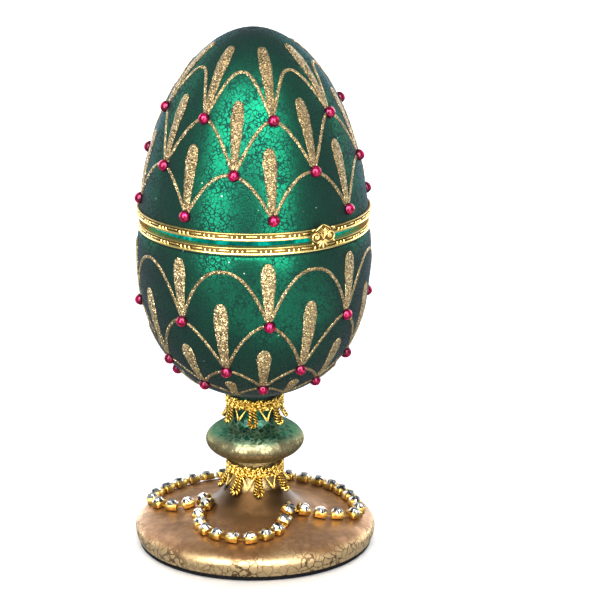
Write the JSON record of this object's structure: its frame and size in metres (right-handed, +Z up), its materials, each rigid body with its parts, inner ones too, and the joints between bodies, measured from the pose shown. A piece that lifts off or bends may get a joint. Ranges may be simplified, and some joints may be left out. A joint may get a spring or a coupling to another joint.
{
  "type": "egg-shaped trinket box",
  "caption": "Footed glass egg box: lid hinged at the waist between gilt rims, raised stone studs, braid collars round a knopped stem, and a flaring foot with a stone chain",
  "frame": {"origin": "centre of the foot's underside, on the surface it stands on", "axes": "+Z up the egg's axis, -Y towards the clasp, +Y towards the hinge"},
  "size_m": [0.082, 0.0831, 0.1782],
  "materials": {
    "painted_glass": "satin metallic green lacquer with a crackle, gold and copper on the foot",
    "gilt_metal": "bright stamped gilding and gilt braid",
    "gilt_chain": "bright gilt cups holding clear cut stones",
    "ruby_glass": "polished ruby cabochon",
    "black_felt": "short black felt",
    "gold_glitter": "gold glitter set in clear glue",
    "clear_stone": "bright cut clear stone"
  },
  "bodies": {
    "stand": {"felt_pad": "black_felt", "goblet": "painted_glass", "lower_rim": "gilt_metal", "hinge_lower_leaf": "gilt_metal", "hinge_pin": "gilt_metal", "upper_collar": "gilt_metal", "lower_collar": "gilt_metal", "stone_chain": "gilt_chain", "bowl_cabochon_1_1": "ruby_glass", "bowl_cabochon_1_2": "ruby_glass", "bowl_cabochon_1_3": "ruby_glass", "bowl_cabochon_1_4": "ruby_glass", "bowl_cabochon_1_5": "ruby_glass", "bowl_cabochon_1_6": "ruby_glass", "bowl_cabochon_1_7": "ruby_glass", "bowl_cabochon_1_8": "ruby_glass", "bowl_cabochon_2_1": "ruby_glass", "bowl_cabochon_2_2": "ruby_glass", "bowl_cabochon_2_3": "ruby_glass", "bowl_cabochon_2_4": "ruby_glass", "bowl_cabochon_2_5": "ruby_glass", "bowl_cabochon_2_6": "ruby_glass", "bowl_cabochon_2_7": "ruby_glass", "bowl_cabochon_2_8": "ruby_glass", "bowl_cabochon_3_1": "ruby_glass", "bowl_cabochon_3_2": "ruby_glass", "bowl_cabochon_3_3": "ruby_glass", "bowl_cabochon_3_4": "ruby_glass", "bowl_cabochon_3_5": "ruby_glass", "bowl_cabochon_3_6": "ruby_glass", "bowl_cabochon_3_7": "ruby_glass", "bowl_cabochon_3_8": "ruby_glass"},
    "lid": {"lid_glass": "painted_glass", "upper_rim": "gilt_metal", "hinge_upper_leaf": "gilt_metal", "clasp": "gilt_metal", "lid_cabochon_1_1": "ruby_glass", "lid_cabochon_1_2": "ruby_glass", "lid_cabochon_1_3": "ruby_glass", "lid_cabochon_1_4": "ruby_glass", "lid_cabochon_1_5": "ruby_glass", "lid_cabochon_1_6": "ruby_glass", "lid_cabochon_1_7": "ruby_glass", "lid_cabochon_1_8": "ruby_glass", "lid_cabochon_2_1": "ruby_glass", "lid_cabochon_2_2": "ruby_glass", "lid_cabochon_2_3": "ruby_glass", "lid_cabochon_2_4": "ruby_glass", "lid_cabochon_2_5": "ruby_glass", "lid_cabochon_2_6": "ruby_glass", "lid_cabochon_2_7": "ruby_glass", "lid_cabochon_2_8": "ruby_glass", "lid_cabochon_3_1": "ruby_glass", "lid_cabochon_3_2": "ruby_glass", "lid_cabochon_3_3": "ruby_glass", "lid_cabochon_3_4": "ruby_glass", "lid_cabochon_3_5": "ruby_glass", "lid_cabochon_3_6": "ruby_glass", "lid_cabochon_3_7": "ruby_glass", "lid_cabochon_3_8": "ruby_glass"}
  },
  "joints": [
    {"name": "lid_hinge", "type": "hinge", "parent": "stand", "child": "lid", "pos_m": [0, 0.0409, 0.11495], "axis": [-1, 0, 0], "range_deg": [0, 90]}
  ]
}
